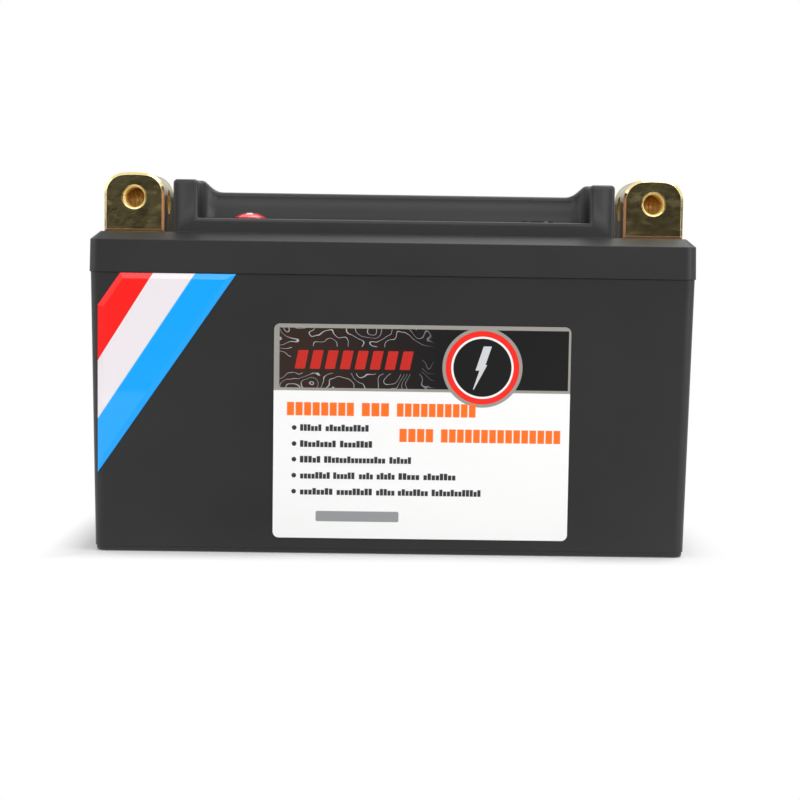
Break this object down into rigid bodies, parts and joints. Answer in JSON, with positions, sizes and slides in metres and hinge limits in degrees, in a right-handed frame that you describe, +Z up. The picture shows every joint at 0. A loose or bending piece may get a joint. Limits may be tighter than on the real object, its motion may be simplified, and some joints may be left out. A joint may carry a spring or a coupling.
{
  "type": "motorcycle battery",
  "caption": "Small sealed lithium motorcycle battery: drafted box case, lid with raised block and ledge, two tapped brass block terminals, cell pack and protection board inside.",
  "frame": {"origin": "middle of the underside", "axes": "+X towards the negative terminal, +Y to the back, +Z up; the label faces -Y"},
  "size_m": [0.15, 0.0652, 0.094],
  "materials": {
    "case_plastic": "fine moulded texture, charcoal",
    "terminal_plating": "polished, thin gold-coloured plating",
    "gasket_rubber": "smooth",
    "zinc_steel": "zinc plated",
    "copper": "bare rolled copper",
    "red_insulation": "silicone insulation",
    "black_insulation": "silicone insulation",
    "cell_sleeve": "shrink sleeve over the can",
    "holder_plastic": "moulded",
    "insulation_board": "glass-fibre sheet",
    "foam": "closed-cell foam",
    "circuit_board": "solder mask",
    "component_black": "moulded resin",
    "heat_spreader": "plain",
    "connector": "nylon",
    "sense_insulation": "thin insulation",
    "label_film": "printed film, satin",
    "sticker_resin": "printed, clear domed resin",
    "plus_resin": "clear domed resin over red print",
    "minus_resin": "clear domed resin over black print"
  },
  "bodies": {
    "root": {"case": "case_plastic", "lid": "case_plastic", "positive_terminal": "terminal_plating", "negative_terminal": "terminal_plating", "positive_gasket": "gasket_rubber", "negative_gasket": "gasket_rubber", "terminal_screws": "zinc_steel", "terminal_washers": "zinc_steel", "positive_lug": "copper", "negative_lug": "copper", "positive_busbar": "copper", "negative_busbar": "copper", "top_link_busbar": "copper", "lower_link_left": "copper", "lower_link_right": "copper", "positive_lead": "red_insulation", "negative_lead": "black_insulation", "cell_1": "cell_sleeve", "cell_2": "cell_sleeve", "cell_3": "cell_sleeve", "cell_4": "cell_sleeve", "cell_5": "cell_sleeve", "cell_6": "cell_sleeve", "cell_7": "cell_sleeve", "cell_8": "cell_sleeve", "lower_cell_holder": "holder_plastic", "upper_cell_holder": "holder_plastic", "lower_insulation_sheet": "insulation_board", "upper_insulation_sheet": "insulation_board", "base_pad": "foam", "left_end_pad": "foam", "right_end_pad": "foam", "top_pad_front": "foam", "top_pad_rear": "foam", "board_tape": "foam", "circuit_board": "circuit_board", "power_transistors": "component_black", "control_chip": "component_black", "shunt_resistors": "component_black", "heat_spreader": "heat_spreader", "balance_socket": "connector", "balance_plug": "connector", "balance_lead_1": "sense_insulation", "balance_lead_2": "sense_insulation", "balance_lead_3": "sense_insulation", "balance_lead_4": "sense_insulation", "balance_lead_5": "sense_insulation", "front_label": "label_film", "corner_sticker": "sticker_resin", "plus_marker": "plus_resin", "minus_marker": "minus_resin"}
  },
  "joints": []
}
